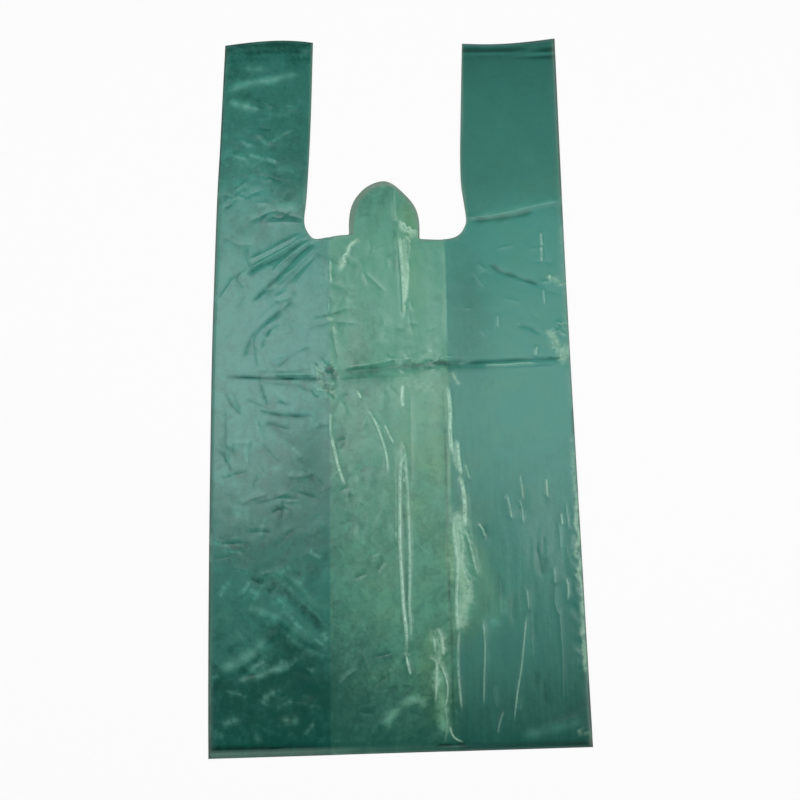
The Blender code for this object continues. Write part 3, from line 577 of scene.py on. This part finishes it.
def alongPath(x, y, path):
    path = np.array(path, float)
    near = np.full(len(x), 1e9)
    side = np.zeros(len(x))
    share = np.zeros(len(x))
    lengths = np.hypot(*np.diff(path, axis=0).T)
    start = 0.0
    for (ax, ay), (bx, by), length in zip(path, path[1:], lengths):
        tx, ty = (bx - ax) / length, (by - ay) / length
        t = np.clip((x - ax) * tx + (y - ay) * ty, 0, length)
        off = np.hypot(x - ax - tx * t, y - ay - ty * t)
        closer = off < near
        near[closer] = off[closer]
        side[closer] = np.sign(tx * (y - ay) - ty * (x - ax))[closer]
        share[closer] = ((start + t) / lengths.sum())[closer]
        start += length
    return near, side, share


# Which points lie within a margin of a path
def besidePath(x, y, path, margin):
    px, py = zip(*path)
    return (x > min(px) - margin) & (x < max(px) + margin) & (y > min(py) - margin) & (y < max(py) + margin)


def endFade(share):
    return smooth(np.minimum(share, 1 - share) / marks["fadeShare"] + marks["endShare"])


def creaseRelief(x, y):
    height = np.zeros(len(x))
    for fold in creases.values():
        path = curveThrough(fold["path"], marks["curveSteps"])
        inside = besidePath(x, y, path, max(fold["reach"]))
        near, side, share = alongPath(x[inside], y[inside], path)
        reach = np.where(side > 0, *fold["reach"])
        crest = np.clip(1 - near / reach, 0, 1) ** marks["crestPower"]
        height[inside] += fold["height"] * crest * endFade(share)
    return height


# The whitened line of the nearest crease, whitened film with a painted highlight: how far off it is in its own
# widths, and how pale it is painted
def creaseLines(x, y):
    far = marks["lineReach"]
    off = np.full(len(x), far)
    pale = np.zeros(len(x))
    for fold in creases.values():
        if not fold["pale"]:
            continue
        path = curveThrough(fold["path"], marks["curveSteps"])
        inside = np.flatnonzero(besidePath(x, y, path, far * fold["width"]))
        near, _, share = alongPath(x[inside], y[inside], path)
        near = near / fold["width"]
        closer = near < off[inside]
        off[inside[closer]] = near[closer]
        pale[inside[closer]] = (fold["pale"] * endFade(share))[closer]
    return off, pale


def softPatch(x, y, spot):
    (cx, cy), (rx, ry) = spot["at"], spot["reach"]
    return np.exp(-((x - cx) / rx) ** 2 - ((y - cy) / ry) ** 2)


def addPatches(x, y, spots):
    return sum(spot["amount"] * softPatch(x, y, spot) for spot in spots.values())


def softBand(x, y, path, width, fades=False, power=2):
    amount = np.zeros(len(x))
    run = curveThrough(path, marks["curveSteps"])
    inside = besidePath(x, y, run, width * marks["bandReach"])
    near, _, share = alongPath(x[inside], y[inside], run)
    amount[inside] = np.exp(-(near / width) ** power)
    if fades:
        beads = 1 - marks["beadDepth"] + marks["beadDepth"] * np.sin(share * marks["beads"] + path[0][0])
        amount[inside] *= endFade(share) * beads
    return amount


# The crumples' noise: how far apart the patches read it, how it is bent, and how sharply it folds
crumpled = dict(faintest=0.03, apart=7.3, bend=0.6, bendSize=0.7, bendPlace=3.1, sharpness=2.2, lowest=-0.4)
# The broad waves of the front panel: height, size across, size along and place in the noise
waves = [(0.5, 70, 95, 1.7), (0.2, 28, 40, 4.2)]


def crumpleRelief(x, y):
    height = np.zeros(len(x))
    aside = Vector((crumpled["bendPlace"], 0, 0))
    for k, spot in enumerate(crumples.values()):
        mask = softPatch(x, y, spot)
        turn = math.radians(spot["turn"])
        along = (x * math.cos(turn) + y * math.sin(turn)) / spot["size"][0]
        across = (y * math.cos(turn) - x * math.sin(turn)) / spot["size"][1]
        for i in np.flatnonzero(mask > crumpled["faintest"]):
            place = Vector((along[i], across[i], crumpled["apart"] * k))
            bend = crumpled["bend"] * noise.noise(place * crumpled["bendSize"] + aside)
            folded = 1 - abs(noise.noise(place + Vector((bend, bend, 0)))) * crumpled["sharpness"]
            height[i] += spot["height"] * mask[i] * max(folded, crumpled["lowest"])
    return height


def broadWave(x, y):
    return np.array([sum(high * noise.noise(Vector((a / wide, b / long, place))) for high, wide, long, place in waves)
                     for a, b in zip(x, y)])


def toneOf(x, y):
    tone = np.interp(y, *zip(*toneAlong)) + addPatches(x, y, tones)
    size = marks["swaySize"]
    sway = np.array([[noise.noise(Vector((a / size, b / size, place))) for place in marks["swayPlaces"]]
                     for a, b in zip(x, y)]) * marks["sway"]
    # painted light and shade along the bands
    for line in bands.values():
        amount = line["amount"] * (marks["paleLift"] if line["amount"] > 0 else 1)
        tone += amount * softBand(x + sway[:, 0], y + sway[:, 1], line["path"], line["width"], True,
                                  marks["bandPower"])
    # painted shade along the dark creases
    for fold in creases.values():
        if fold["dark"]:
            tone -= fold["dark"] * softBand(x, y, fold["path"], fold["spread"], True)
    tone = np.maximum(tone, marks["darkest"])
    u, v = tubePlace(x, y)
    for at, width, left, right in weldTones:
        tone += np.interp(u, weldBlend, (left, right)) * np.exp(-((v - at) / width) ** 2)
    return tone


# How far a point lies in the dull hollow of a crease
def hollowOf(x, y):
    spot = marks["dullPatch"]
    hollow = spot["amount"] * softPatch(x, y, spot)
    for fold in creases.values():
        if fold["dark"]:
            depth = fold["dark"] * marks["dullCrease"]
            hollow = np.maximum(hollow, depth * softBand(x, y, fold["path"], fold["spread"], True))
    for line in bands.values():
        if line["amount"] < 0:
            depth = -marks["dullBand"] * line["amount"]
            hollow = np.maximum(hollow, depth * softBand(x, y, line["path"], line["width"]))
    start, length = marks["dullFrom"]
    return hollow * smooth((y - start) / length)


def glintOf(x, y):
    glint = np.zeros(len(x))
    for line in glints.values():
        glint = np.maximum(glint, line["amount"] * softBand(x, y, line["path"], line["width"]))
    return glint


# How much painted sheen lies on a point along the paler bands: a painted reflection
def sheenOf(x, y):
    sheen = np.zeros(len(x))
    for line in bands.values():
        if line["amount"] > 0:
            light = sum(share * softBand(x, y, line["path"], line["width"] * width, True)
                        for share, width in zip(marks["sheenShares"], marks["sheenWidths"]))
            sheen = np.maximum(sheen, line["amount"] * light)
    return sheen


# The thin grey rim round the mouth and along the outer folds, the back panel's tongue and the skirt: painted light on
# the thin edges and on the shaded ledge under the front tongue
rims = dict(
    mouth=0.45,
    mouthWidth=1.1,
    tongue=0.75,
    tongueReach=6,
    tongueMiddle=-6,
    tongueHalf=34,
    tongueFoot=118,
    tongueTop=0.05,  # above the lowest layer
    rightFold=0.42,
    leftFold=[(150, 0.4), (190, 0.12)],  # (v, amount)
    foldWidth=2.4,
    skirt=[(-70, 0.32), (-30, 0.1)],  # (u, amount)
    skirtFrom=-295.6,
    skirtStep=1.2,
)


def rimOf(x, y, z):
    u, v = tubePlace(x, y)
    near, _, _ = alongPath(u, v, mouthRun(True))
    onMouth = np.exp(-(near / rims["mouthWidth"]) ** 2) * rims["mouth"]
    low = z < bag["lowestLayer"] + rims["tongueTop"]
    onTongue = (np.abs(u - rims["tongueMiddle"]) < rims["tongueHalf"]) & (v > rims["tongueFoot"])
    underneath = (near < rims["tongueReach"]) & low & onTongue
    amount = np.where(u > 0, rims["rightFold"], np.interp(v, *zip(*rims["leftFold"])))
    onFold = np.exp(-((bag["halfWidth"] - np.abs(u)) / rims["foldWidth"]) ** 2) * amount
    onSkirt = smooth((rims["skirtFrom"] - v) / rims["skirtStep"]) * np.interp(u, *zip(*rims["skirt"]))
    return np.maximum(np.maximum(np.where(underneath, rims["tongue"], onMouth), onFold), onSkirt)


def cutLayer(run, columns, rows, clipAt=None, clipSide=1):
    layer = bmesh.new()
    layer.faces.new([layer.verts.new((u, v, 0)) for u, v in run])
    if clipAt is not None:
        bmesh.ops.bisect_plane(layer, geom=layer.verts[:] + layer.edges[:] + layer.faces[:], dist=1e-4,
                               plane_co=(clipAt, 0, 0), plane_no=(-clipSide, 0, 0), clear_outer=True)
    for normal, stops in (((1, 0, 0), columns), ((0, 1, 0), rows)):
        axis = normal.index(1)
        geom = layer.verts[:] + layer.edges[:] + layer.faces[:]
        for stop in stops:
            place = [0, 0, 0]
            place[axis] = stop
            made = bmesh.ops.bisect_plane(layer, geom=geom, dist=1e-4, plane_co=place, plane_no=normal)
            beyond = [f for f in made["geom"] if isinstance(f, bmesh.types.BMFace)
                      and max(v.co[axis] for v in f.verts) > stop + 1e-3]
            geom = beyond + list({e for f in beyond for e in f.edges}) + list({v for f in beyond for v in f.verts})
    return layer


# Halves the faces that lie near a crease or in a fine crumple
def refineLayer(layer):
    faces = layer.faces[:]
    middles = np.array([face.calc_center_bounds()[:2] for face in faces])
    x, y = laidPlace(middles[:, 0], middles[:, 1])
    busy = glintOf(x, y) > cuts["busyGlint"]
    for fold in creases.values():
        run = curveThrough(fold["path"], marks["curveSteps"])
        reach = min(max(fold["reach"]), cuts["busyReach"]) + cuts["busyMargin"]
        inside = np.flatnonzero(besidePath(x, y, run, reach))
        near, _, _ = alongPath(x[inside], y[inside], run)
        busy[inside[near < reach]] = True
    for spot in crumples.values():
        if min(spot["size"]) * spot["height"] < cuts["fineCrumple"]:
            busy |= softPatch(x, y, spot) * spot["height"] > cuts["busyCrumple"]
    edges = {edge for face, picked in zip(faces, busy) if picked for edge in face.edges}
    bmesh.ops.subdivide_edges(layer, edges=list(edges), cuts=1, use_grid_fill=True)
    print("front refined,", int(busy.sum()), "of", len(faces), "faces halved")


# Cuts the front panel's faces along each crease, and a little to both sides of a tall one, so that its
# crest is a true edge
def cutCreases(layer):
    cell, snap = cuts["cell"], cuts["snap"]
    places = {}

    def keep(faces):
        for face in faces:
            middle = face.calc_center_bounds()
            places.setdefault((int(middle.x // cell), int(middle.y // cell)), set()).add(face)

    def cut(a, b, offset):
        along = (b - a).normalized()
        across = Vector((-along.y, along.x, 0))
        steps = int((b - a).length // cell) + 2
        cells = set()
        for k in range(steps + 1):
            at = a + (b - a) * k / steps
            i, j = int(at.x // cell), int(at.y // cell)
            cells |= {(i + di, j + dj) for di in (-1, 0, 1) for dj in (-1, 0, 1)}
        faces = set()
        for key in cells:
            for face in list(places.get(key, ())):
                if not face.is_valid:
                    places[key].discard(face)
                    continue
                middle = face.calc_center_bounds() - a
                beside = abs(middle.dot(across) - offset) < cuts["besideCrease"]
                if beside and 0 < middle.dot(along) < (b - a).length:
                    faces.add(face)
        if not faces:
            return
        geom = list(faces) + list({e for f in faces for e in f.edges}) + list({v for f in faces for v in f.verts})
        made = bmesh.ops.bisect_plane(layer, geom=geom, dist=snap, plane_co=a + across * offset, plane_no=across)
        keep(f for f in made["geom"] if isinstance(f, bmesh.types.BMFace))
        for item in made["geom_cut"]:
            if isinstance(item, bmesh.types.BMVert):
                off = (item.co - a).dot(across) - offset
                if abs(off) < snap and not item.is_boundary:
                    item.co -= across * off
            elif offset == 0:
                item.smooth = False

    keep(layer.faces)
    for fold in creases.values():
        run = [tubePlace(x, y) for x, y in curveThrough(fold["path"], 2 if len(fold["path"]) > 2 else 1)]
        shoulder = min(cuts["shoulder"], cuts["shoulderShare"] * min(fold["reach"]))
        tall = abs(fold["height"]) > cuts["tallCrease"]
        for a, b in zip(run, run[1:]):
            for offset in (0, shoulder, -shoulder) if tall else (0,):
                cut(Vector((*a, 0)), Vector((*b, 0)), offset)


def stops(low, high, pitch):
    count = max(1, round((high - low) / pitch))
    return [low + (high - low) * k / count for k in range(1, count)]


def outlineOf(front):
    w, h = bag["halfWidth"], bag["halfLength"]
    run = mouthRun(front)
    leftTop = [(u, h) for u in stops(-w, run[0][0], cuts["topPitch"])]
    rightTop = [(u, h) for u in stops(run[-1][0], w, cuts["topPitch"])]
    return [(w, -h), (w, h)] + rightTop[::-1] + run[::-1] + leftTop[::-1] + [(-w, h), (-w, -h)]


# How the layers lie on one another
stack = dict(
    pinch=0.7,  # how much of their height the layers lose in a weld
    pinchReach=1.3,
    tightReach=7,  # from a weld to where the front panel lies loose
    hemLooseness=0.2,
    lift=0.55,  # the front panel's height over the layer below, before its waves and creases
    lowest=0.1,
    ease=0.4,
    foldRelief=0.6,  # how much of the front panel's relief goes round the outer fold
    foldRound=4,
    followShare=0.6,  # how much of it the layer below takes up at the outer fold
    followReach=9,
    frontFrom=0.2,  # what lies this high over the lowest layer bears the front panel's marks
)


def pinchAt(v):
    near = np.minimum(np.abs(v - bag["bottomWeld"]), np.abs(v - bag["topWeld"]))
    beyond = (v > bag["topWeld"]) | (v < bag["bottomWeld"])
    pinch = 1 - stack["pinch"] * np.exp(-(near / stack["pinchReach"]) ** 2)
    loose = 1 - np.exp(-(near / stack["tightReach"]) ** 2)
    return pinch, loose * np.where(beyond, stack["hemLooseness"], 1)


def layerHeights(u, v, level):
    pitch = bag["layerPitch"]
    pinch, loose = pinchAt(v)
    if level == 0:
        return np.zeros(len(u))
    x, y = laidPlace(u, v)
    toEdge = bag["halfWidth"] - np.abs(u)
    toFold = np.where(u < 0, bag["leftFold"] - u, u - bag["rightFold"])
    relief = np.zeros(len(u))
    if level >= 2:
        low = stack["lowest"]
        relief = stack["lift"] + broadWave(x, y) + creaseRelief(x, y) + crumpleRelief(x, y)
        relief = np.where(relief > low, relief, low * np.exp((relief - low) / stack["ease"])) * loose
        atEdge = pitch * 2.5 + stack["foldRelief"] * relief
        if level == 3:
            wing = smooth(toFold / bag["foldStep"] + 1)
            flat = pitch * (1 + 2 * wing) + relief
        else:
            share = stack["followShare"] * (1 - smooth(toEdge / stack["followReach"]))
            flat = pitch * 2 + share * relief
        height = atEdge + (flat - atEdge) * np.sqrt(np.clip(toEdge / stack["foldRound"], 0, 1))
    else:
        height = np.where(toEdge < 0.01, 0.5 * pitch, pitch)
    if level < 3:
        height = np.where(toFold < 0.01, 1.5 * pitch, height)
    return height * pinch


def buildFilm():
    w, h = bag["halfWidth"], bag["halfLength"]
    leftFold, rightFold = bag["leftFold"], bag["rightFold"]
    near, hidden = cuts["besideEdge"], cuts["hiddenPitch"]
    rows = stops(-h, h, cuts["rowPitch"])
    rightColumns = stops(rightFold, w - near[-1], hidden) + [w - d for d in reversed(near)]
    leftColumns = [-w + d for d in near] + stops(-w + near[-1], leftFold, hidden)
    # Each layer's level, whether it is the front panel, its columns, and the fold that it ends at
    plans = [
        (3, True, stops(-w, w, cuts["columnPitch"]), None, 1),
        (2, False, rightColumns, rightFold, 1),
        (2, False, leftColumns, leftFold, -1),
        (1, False, rightColumns, rightFold, 1),
        (1, False, leftColumns, leftFold, -1),
        (0, False, stops(-w, w, hidden), None, 1),
    ]
    film = bmesh.new()
    sheet = bpy.data.meshes.new("bagFilm")
    for level, front, columns, clipAt, clipSide in plans:
        layer = cutLayer(outlineOf(front), columns, rows, clipAt, clipSide)
        if front:
            refineLayer(layer)
            cutCreases(layer)
        uv = np.array([v.co[:2] for v in layer.verts])
        u, v = uv[:, 0], uv[:, 1]
        x, y = laidPlace(u, v)
        z = bag["lowestLayer"] + layerHeights(u, v, level)
        for vertex, place in zip(layer.verts, zip(x, y, z)):
            vertex.co = [c * mm for c in place]
        layer.to_mesh(sheet)
        film.from_mesh(sheet)
        layer.free()
        print("layer", level, "cut,", len(uv), "points")
    bmesh.ops.remove_doubles(film, verts=film.verts, dist=cuts["merge"] * mm)
    bmesh.ops.recalc_face_normals(film, faces=film.faces)
    for face in film.faces:
        face.smooth = True
    film.to_mesh(sheet)
    film.free()
    points = np.array([v.co[:] for v in sheet.vertices]) / mm
    x, y, z = points.T
    onFront = z > bag["lowestLayer"] + stack["frontFrom"]
    crest, pale = creaseLines(x, y)
    looks = dict(crest=crest, pale=pale * onFront, glint=glintOf(x, y) * onFront, tone=toneOf(x, y),
                 warmth=addPatches(x, y, warmths), hollow=hollowOf(x, y), sheen=sheenOf(x, y) * onFront,
                 rim=rimOf(x, y, z))
    for name, values in looks.items():
        sheet.attributes.new(name, "FLOAT", "POINT").data.foreach_set("value", values.astype(np.float32))
    triangles = sum(len(p.vertices) - 2 for p in sheet.polygons) * 2
    print("film has", len(points), "points and, with its wall,", triangles, "triangles")
    piece = bpy.data.objects.new("bagFilm", sheet)
    bpy.context.scene.collection.objects.link(piece)
    wall = piece.modifiers.new("wall", "SOLIDIFY")
    wall.thickness = bag["filmThickness"] * mm
    wall.offset = 0
    return piece


class Value:
    def __init__(self, tree, socket):
        self.tree, self.socket = tree, socket

    def maths(self, operation, first, second):
        node = self.tree.nodes.new("ShaderNodeMath")
        node.operation = operation
        for slot, item in zip(node.inputs, (first, second)):
            if isinstance(item, Value):
                self.tree.links.new(item.socket, slot)
            else:
                slot.default_value = item
        return Value(self.tree, node.outputs[0])

    def __add__(self, other):
        return self.maths("ADD", self, other)

    def __sub__(self, other):
        return self.maths("SUBTRACT", self, other)

    def __mul__(self, other):
        return self.maths("MULTIPLY", self, other)

    def __truediv__(self, other):
        return self.maths("DIVIDE", self, other)

    def __rsub__(self, other):
        return self.maths("SUBTRACT", other, self)

    __radd__ = __add__
    __rmul__ = __mul__


class Finish:
    def __init__(self, name):
        self.material = bpy.data.materials.new(name)
        self.material.use_nodes = True
        self.tree = self.material.node_tree
        self.shader = self.tree.nodes["Principled BSDF"]

    def add(self, kind, settings, sockets, output=0):
        node = self.tree.nodes.new(kind)
        for name, value in settings.items():
            setattr(node, name, value)
        self.fill(node, sockets)
        return Value(self.tree, node.outputs[output])

    def fill(self, node, sockets):
        for name, value in sockets.items():
            if isinstance(value, Value):
                self.tree.links.new(value.socket, node.inputs[name])
            else:
                node.inputs[name].default_value = value

    # The finish's own shader and another, blended by a share of the other
    def blend(self, share, other):
        own = Value(self.tree, self.shader.outputs[0])
        both = self.add("ShaderNodeMixShader", {}, {0: share, 1: own, 2: other})
        self.tree.links.new(both.socket, self.tree.nodes["Material Output"].inputs["Surface"])

    def read(self, *names):
        return [self.add("ShaderNodeAttribute", {"attribute_name": name}, {}, 2) for name in names]

    def mix(self, share, first, second, blend="MIX"):
        settings = {"data_type": "RGBA", "blend_type": blend}
        return self.add("ShaderNodeMix", settings, {0: share, 6: first, 7: second}, 2)

    def stretch(self, place, scale):
        return self.add("ShaderNodeMapping", {}, {"Vector": place, "Scale": scale})

    def noise(self, place, scale, detail, roughness=0.6):
        sockets = {"Vector": place, "Scale": scale, "Detail": detail, "Roughness": roughness}
        return self.add("ShaderNodeTexNoise", {}, sockets)

    # A grey of its own for each cell
    def cells(self, place, scale):
        cell = self.add("ShaderNodeTexVoronoi", {}, {"Vector": place, "Scale": scale}, 1)
        return self.add("ShaderNodeSeparateColor", {}, {0: cell})

    def ramp(self, value, low, high):
        return self.add("ShaderNodeMapRange", {"interpolation_type": "SMOOTHSTEP"},
                        {"Value": value, "From Min": low, "From Max": high})


filmLook = dict(
    # the film where it lies double and single, each from painted shade to painted light, whitened with a painted
    # highlight, with painted glitter where crumpled, with painted light on a cut edge, and in painted deep shade
    dark=(0.005, 0.078, 0.058, 1),
    middle=(0.031, 0.178, 0.140, 1),
    light=(0.055, 0.288, 0.232, 1),
    singleDark=(0.010, 0.100, 0.070, 1),
    singleLight=(0.096, 0.348, 0.243, 1),
    pale=(0.46, 0.76, 0.59, 1),
    glitter=(0.33, 0.58, 0.41, 1),
    rim=(0.28, 0.39, 0.32, 1),
    deep=(0.0, 0.028, 0.020, 1),
    yellower=(1.45, 1.04, 0.86, 1),
    bluer=(1.05, 0.99, 1.10, 1),
    roughness=0.31,
    mattRoughness=0.6,
    coatRoughness=0.16,
    coatWeight=0.15,
    specular=0.5,
    bumpDistance=0.0011,
    bumpStrength=0.3,
    # the tones between which one colour turns into the next
    upperTones=(0.45, 1.05),
    lowerTones=(-0.05, 0.55),
    singleTones=(-0.05, 1.05),
    deepTones=(0.0, -0.7),
    # noise: scale, detail and, where it isn't 0.6, roughness
    patchy=(34, 3),
    mottle=(90, 2),
    mottleStretch=(1.25, 0.6, 1),
    fine=(300, 4, 0.65),
    straightness=0.985,  # of the cells, before patchy noise bends them
    facetScale=75,
    facetSoftness=0.5,
    shards=[(85, 0.17), (210, 0.14)],  # (scale, weight)
    streakStretch=(360, 30, 1),
    streakFades=(-60, 60),  # the streaks fade upwards, to a fifth
    streakFade=0.8,
    foldBlur=1.5,
    rightCalm=0.7,  # how much less the right wing is crumpled
    hueSpread=1.4,
    # dull parts of the left wing
    lowerBag=(-190, -60),
    handle=(130, 175),
    wingDull=0.12,
    lowDull=0.4,
    handleDull=0.4,
)


def filmFinish():
    look = filmLook
    paint = Finish("greenFilm")
    place = paint.add("ShaderNodeTexCoord", {}, {}, "Object")
    x, y = [paint.add("ShaderNodeSeparateXYZ", {}, {0: place}, axis) / mm for axis in "XY"]
    tone, warmth, rim, pale, crest, glint, hollow, sheen = paint.read(
        "tone", "warmth", "rim", "pale", "crest", "glint", "hollow", "sheen")
    patchy = paint.noise(place, *look["patchy"])
    mottle = paint.noise(paint.stretch(place, look["mottleStretch"]), *look["mottle"])
    fine = paint.noise(place, *look["fine"])
    bend = paint.mix(look["straightness"], patchy, (0, 0, 0, 1))
    bent = paint.add("ShaderNodeVectorMath", {"operation": "ADD"}, {0: place, 1: bend})
    facets = paint.add("ShaderNodeTexVoronoi", {"feature": "SMOOTH_F1"},
                       {"Vector": bent, "Scale": look["facetScale"], "Smoothness": look["facetSoftness"]})
    streaks = paint.noise(paint.stretch(place, look["streakStretch"]), 1, 3)
    streaks = 0.5 + (streaks - 0.5) * (1 - paint.ramp(y, *look["streakFades"]) * look["streakFade"])

    leftFold, rightFold, blur = bag["leftFold"], bag["rightFold"], look["foldBlur"]
    leftWing = paint.ramp(x, leftFold + blur, leftFold - blur)
    rightWing = paint.ramp(x, rightFold - blur, rightFold + blur)
    single = 1 - leftWing - rightWing
    creasy = 1 - rightWing * look["rightCalm"]
    grain = (mottle - 0.5) * 0.35 + (fine - 0.5) * 0.5
    for scale, weight in look["shards"]:
        grain = grain + (paint.cells(bent, scale) - 0.5) * weight
    level = tone + grain * creasy + (streaks - 0.5) * rightWing * 0.25

    # the film's colour runs with its tone from painted shade to painted light
    lower = paint.mix(paint.ramp(level, *look["lowerTones"]), look["dark"], look["middle"])
    doubled = paint.mix(paint.ramp(level, *look["upperTones"]), lower, look["light"])
    plain = paint.mix(paint.ramp(level, *look["singleTones"]), look["singleDark"], look["singleLight"])
    colour = paint.mix(single, doubled, plain)
    colour = paint.mix(paint.ramp(level, *look["deepTones"]), colour, look["deep"])
    hue = warmth + (patchy - 0.5) * look["hueSpread"]
    colour = paint.mix(paint.ramp(hue, 0, 1), colour, look["yellower"], "MULTIPLY")
    colour = paint.mix(paint.ramp(hue, 0, -1), colour, look["bluer"], "MULTIPLY")
    # painted light on the thin rims
    colour = paint.mix(rim, colour, look["rim"])
    # painted sheen on the pale bands, painted glitter in fine crumples, and whitened creases with a painted
    # highlight, each broken up by the noise
    loose = sheen * (0.2 + paint.ramp(fine * 0.5 + mottle * 0.5, 0.36, 0.62) * 0.22)
    glitter = glint * paint.ramp(fine * 0.7 + mottle * 0.3 + glint * 0.26, 0.48, 0.74) * 0.8
    line = pale * paint.ramp(crest + (fine - 0.5) * 1.3, 1.35, 0.4) * (0.5 + paint.ramp(fine, 0.35, 0.6) * 0.6)
    colour = paint.mix(loose, colour, look["pale"])
    colour = paint.mix(glitter, colour, look["glitter"])
    colour = paint.mix(line, colour, look["pale"])

    # a hollow, and parts of the left wing, mirror less of the light
    low = (1 - paint.ramp(y, *look["lowerBag"])) * look["lowDull"]
    handle = paint.ramp(y, *look["handle"]) * look["handleDull"]
    dull = paint.ramp(hollow * (0.35 + mottle * 0.5) + leftWing * (low + handle + look["wingDull"]), 0, 1)
    relief = mottle * 0.5 + fine * 0.25 + facets * creasy * 0.7 + streaks * rightWing * 0.2
    bump = paint.add("ShaderNodeBump", {}, {"Height": relief, "Distance": look["bumpDistance"],
                                            "Strength": look["bumpStrength"]})
    paint.fill(paint.shader, {"Base Color": colour, "Roughness": look["roughness"], "Normal": bump,
                              "Coat Weight": look["coatWeight"], "Coat Roughness": look["coatRoughness"],
                              "Specular IOR Level": look["specular"]})
    matt = paint.add("ShaderNodeBsdfPrincipled", {}, {"Base Color": colour, "Roughness": look["mattRoughness"],
                                                      "Normal": bump, "Specular IOR Level": 0.0})
    paint.blend(dull, matt)
    return paint.material


studio = dict(
    cameraPlace=(-0.0083065, -0.18937307, 0.80474758),
    cameraTurn=(11.64910018, -0.71270418, -1.04089054),
    lens=45.0,
    worldLight=0.08,
    floorColour=(0.9, 0.9, 0.9, 1),
    floorGlow=0.9,  # how far the floor's shown colour is plain white
    # (distance from the middle, height): the floor and the wall that it turns up into
    backdrop=[(0, 0), (2.4, 0), (2.75, 0.08), (2.95, 0.3), (3.0, 0.7), (3.0, 1.7)],
    lamps=dict(
        # name: place, size, power, what it points at, whether the film mirrors it
        softbox=((-0.29, 0.29, 1.25), (0.58, 0.62), 4.5, (-0.04, 0.02, 0), True),
        softboxRight=((0.42, 0.34, 1.25), (0.36, 0.7), 1.3, (0.1, 0.02, 0), True),
        fillLeft=((-1.5, -0.1, 1.5), (1.0, 1.6), 9.2, (0, 0, 0), False),
        fillRight=((1.5, -0.3, 1.5), (0.8, 1.6), 9.4, (0, 0, 0), False),
        stripRight=((0.80, -0.08, 1.0), (0.10, 1.2), 3.2, (0.05, -0.02, 0), True),
        stripLeft=((-0.85, 0.1, 1.0), (0.10, 1.0), 0.8, (0, 0, 0), True),
    ),
)


def buildBackdrop():
    profile = studio["backdrop"]
    ground = bmesh.new()
    corners = [ground.verts.new((r, 0, z)) for r, z in profile]
    edges = [ground.edges.new(pair) for pair in zip(corners, corners[1:])]
    bmesh.ops.spin(ground, geom=corners + edges, cent=(0, 0, 0), axis=(0, 0, 1), angle=math.tau, steps=64,
                   use_merge=True)
    bmesh.ops.remove_doubles(ground, verts=ground.verts, dist=1e-5)
    bmesh.ops.recalc_face_normals(ground, faces=ground.faces)
    if min(ground.faces, key=lambda face: face.calc_center_median().length).normal.z < 0:
        bmesh.ops.reverse_faces(ground, faces=ground.faces)
    mesh = bpy.data.meshes.new("floor")
    ground.to_mesh(mesh)
    ground.free()
    paper = Finish("whiteFloor")
    paper.fill(paper.shader, {"Base Color": studio["floorColour"], "Roughness": 0.9, "Specular IOR Level": 0.0})
    rays = [paper.add("ShaderNodeLightPath", {}, {}, name)
            for name in ("Is Camera Ray", "Is Glossy Ray", "Is Transmission Ray")]
    seen = rays[0].maths("MAXIMUM", rays[0], rays[1].maths("MAXIMUM", rays[1], rays[2]))
    glow = paper.add("ShaderNodeEmission", {}, {"Color": (1, 1, 1, 1), "Strength": 1.0})
    paper.blend(seen * studio["floorGlow"], glow)
    mesh.materials.append(paper.material)
    floor = bpy.data.objects.new("floor", mesh)
    bpy.context.scene.collection.objects.link(floor)


def buildSet():
    scene = bpy.context.scene
    scene.view_settings.view_transform = "Standard"
    eye = bpy.data.cameras.new("camera")
    eye.lens = studio["lens"]
    eye.clip_end = 50
    camera = bpy.data.objects.new("camera", eye)
    camera.location = studio["cameraPlace"]
    camera.rotation_euler = [math.radians(a) for a in studio["cameraTurn"]]
    scene.collection.objects.link(camera)
    scene.camera = camera
    for name, (place, size, power, target, mirrored) in studio["lamps"].items():
        lamp = bpy.data.lights.new(name, "AREA")
        lamp.shape = "RECTANGLE"
        lamp.size, lamp.size_y = size
        lamp.energy = power
        stand = bpy.data.objects.new(name, lamp)
        stand.location = place
        stand.visible_glossy = mirrored
        stand.rotation_euler = (Vector(target) - Vector(place)).to_track_quat("-Z", "Y").to_euler()
        scene.collection.objects.link(stand)
    world = bpy.data.worlds.new("studio")
    scene.world = world
    world.use_nodes = True
    back = world.node_tree.nodes["Background"]
    back.inputs["Color"].default_value = (1, 1, 1, 1)
    back.inputs["Strength"].default_value = studio["worldLight"]
    buildBackdrop()
    print("set built")


bagFilm = buildFilm()
bagFilm.data.materials.append(filmFinish())
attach(bagFilm, "root")
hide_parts("bag_film")
print("film built")
buildSet()
